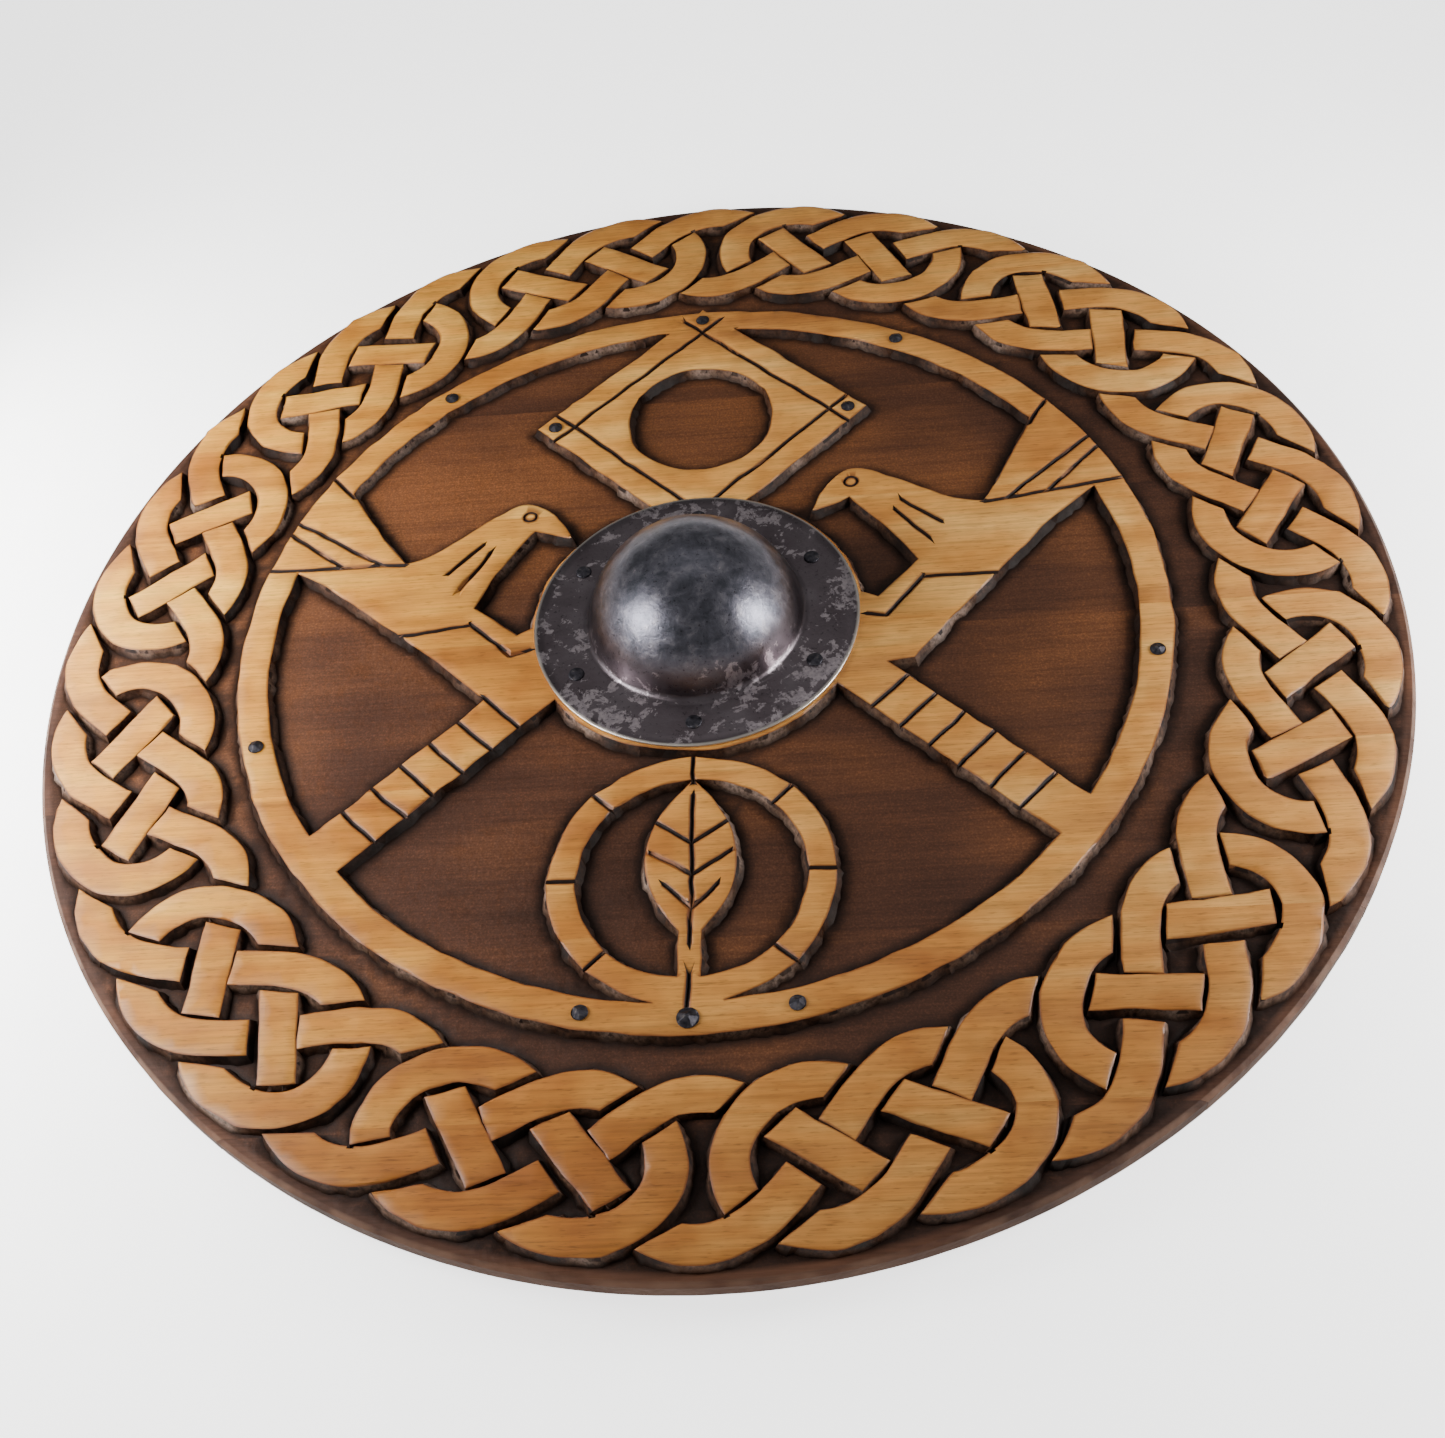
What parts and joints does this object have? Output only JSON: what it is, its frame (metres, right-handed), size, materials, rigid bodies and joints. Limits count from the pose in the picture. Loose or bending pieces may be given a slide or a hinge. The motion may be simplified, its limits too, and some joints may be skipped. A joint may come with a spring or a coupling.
{
  "type": "viking shield",
  "caption": "Round planked wooden shield with a carved plaited border, a ring and ravens in low relief, a domed iron boss, and a grip and battens on the back.",
  "frame": {"origin": "under the middle of the rim, at the height of the battens' back faces, on which the shield lies", "axes": "+Z out of the carved face, +Y towards the lozenge at the shield's top, +X to the right as seen from the front"},
  "size_m": [0.84, 0.84, 0.0944],
  "materials": {
    "carved_wood": "oiled light wood on the raised carving, dark stain on the ground",
    "batten_wood": "planed, stained",
    "grip_wood": "oiled",
    "boss_steel": "blued, worn and mottled",
    "black_iron": "forged, blackened",
    "plated_steel": "zinc plated"
  },
  "bodies": {
    "root": {"plank_1": "carved_wood", "plank_2": "carved_wood", "plank_3": "carved_wood", "plank_4": "carved_wood", "plank_5": "carved_wood", "plank_6": "carved_wood", "plank_7": "carved_wood", "plank_8": "carved_wood", "boss": "boss_steel", "boss_rivet_1": "black_iron", "boss_rivet_2": "black_iron", "boss_rivet_3": "black_iron", "boss_rivet_4": "black_iron", "boss_rivet_5": "black_iron", "boss_rivet_6": "black_iron", "boss_rove_1": "black_iron", "boss_rove_2": "black_iron", "boss_rove_3": "black_iron", "boss_rove_4": "black_iron", "boss_rove_5": "black_iron", "boss_rove_6": "black_iron", "lozenge_nail_1": "black_iron", "lozenge_nail_2": "black_iron", "lozenge_nail_3": "black_iron", "ring_nail_1": "black_iron", "ring_nail_2": "black_iron", "ring_nail_3": "black_iron", "ring_nail_4": "black_iron", "ring_nail_5": "black_iron", "ring_nail_6": "black_iron", "ring_nail_7": "black_iron", "batten_left": "batten_wood", "batten_right": "batten_wood", "batten_screw_1": "plated_steel", "batten_screw_2": "plated_steel", "batten_screw_3": "plated_steel", "batten_screw_4": "plated_steel", "batten_screw_5": "plated_steel", "batten_screw_6": "plated_steel", "batten_screw_7": "plated_steel", "batten_screw_8": "plated_steel", "grip": "grip_wood"}
  },
  "joints": []
}
